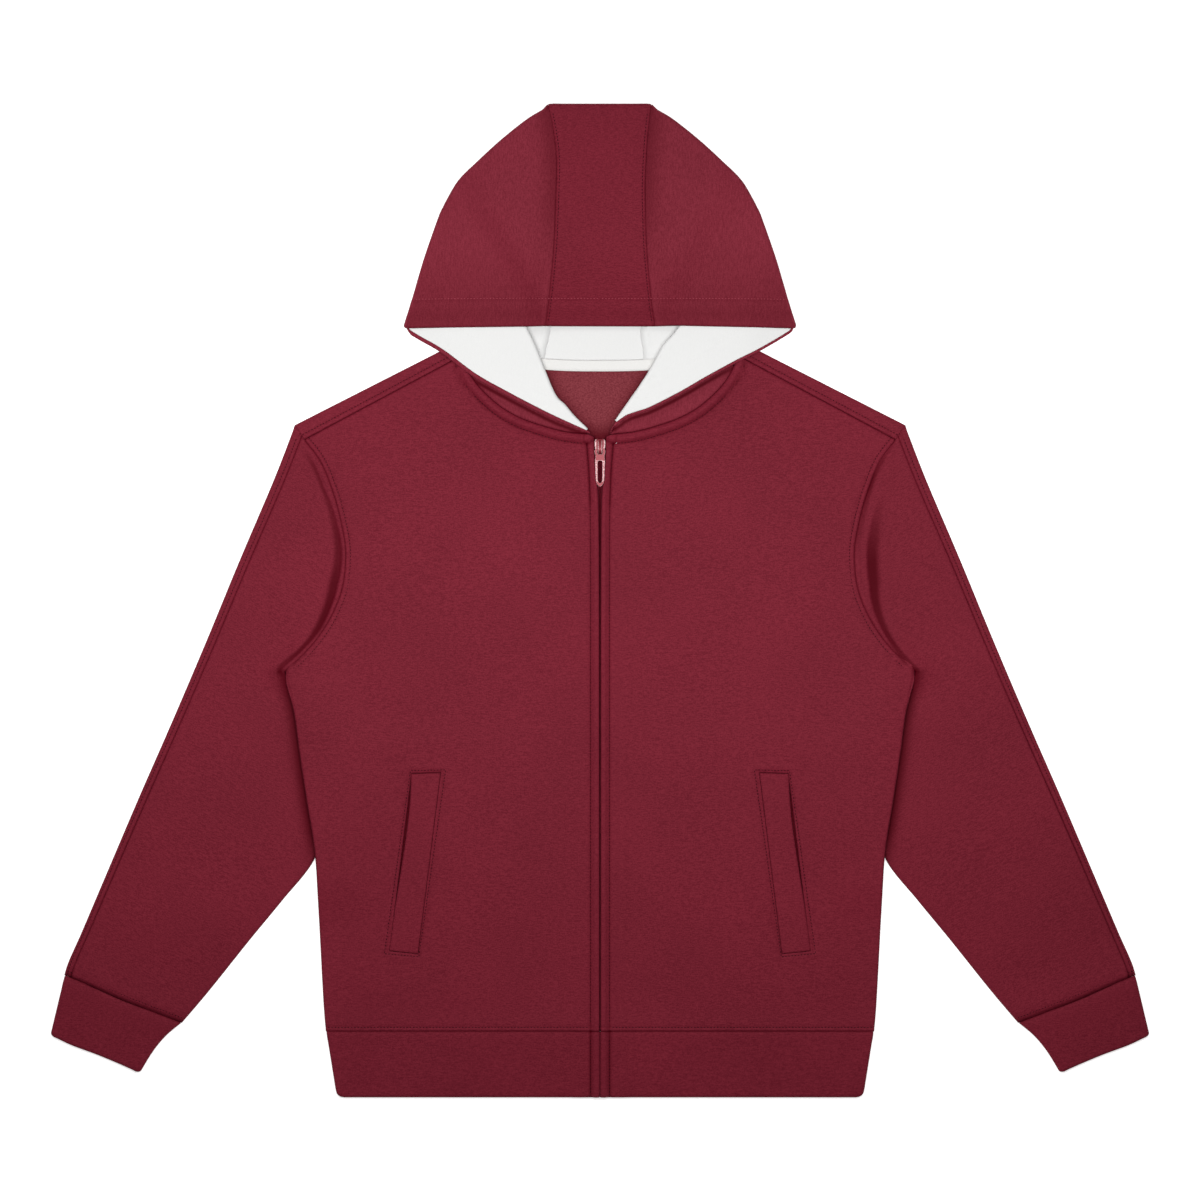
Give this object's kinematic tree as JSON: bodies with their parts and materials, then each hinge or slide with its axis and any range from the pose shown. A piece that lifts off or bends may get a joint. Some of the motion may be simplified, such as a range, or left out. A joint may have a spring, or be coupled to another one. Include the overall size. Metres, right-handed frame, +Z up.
{
  "type": "zip up hoodie",
  "caption": "Zip-up fleece hoodie laid flat, hood folded with its lined lapels turned out, welt pockets, plain hem band and cuffs.",
  "frame": {"origin": "on the surface under the middle of the laid-out garment", "axes": "+X across the garment to its right as seen from above, +Y from the hem towards the hood, +Z up from the surface it lies on"},
  "size_m": [1.046, 0.945, 0.0133],
  "materials": {
    "fleece": "matte smooth-faced double knit",
    "rib_band": "matte folded knit band",
    "hood_lining": "matte plain jersey",
    "neck_tape": "matte woven tape",
    "zip_tape": "matte woven tape",
    "zip_coil": "satin coil",
    "zip_metal": "satin paint"
  },
  "bodies": {
    "garment": {"back_panel": "fleece", "cuff_left": "rib_band", "cuff_right": "rib_band", "front_left": "fleece", "front_right": "fleece", "hem_band": "rib_band", "hood_centre": "fleece", "hood_lining_centre": "hood_lining", "hood_lining_left": "hood_lining", "hood_lining_right": "hood_lining", "hood_side_left": "fleece", "hood_side_right": "fleece", "neck_tape": "neck_tape", "pocket_bag_left": "fleece", "pocket_bag_right": "fleece", "pocket_welt_left": "fleece", "pocket_welt_right": "fleece", "sleeve_back_left": "fleece", "sleeve_back_right": "fleece", "sleeve_front_left": "fleece", "sleeve_front_right": "fleece", "zip_bail": "zip_metal", "zip_box": "zip_metal", "zip_chain_left": "zip_coil", "zip_chain_right": "zip_coil", "zip_slider": "zip_metal", "zip_tape_left": "zip_tape", "zip_tape_right": "zip_tape"},
    "pull_tab": {"pull_tab": "zip_metal"}
  },
  "joints": [
    {"name": "pull_tab_hinge", "type": "hinge", "parent": "garment", "child": "pull_tab", "pos_m": [0, 0.144, 0.00685], "axis": [-1, 0, 0], "range_deg": [0, 150]}
  ]
}
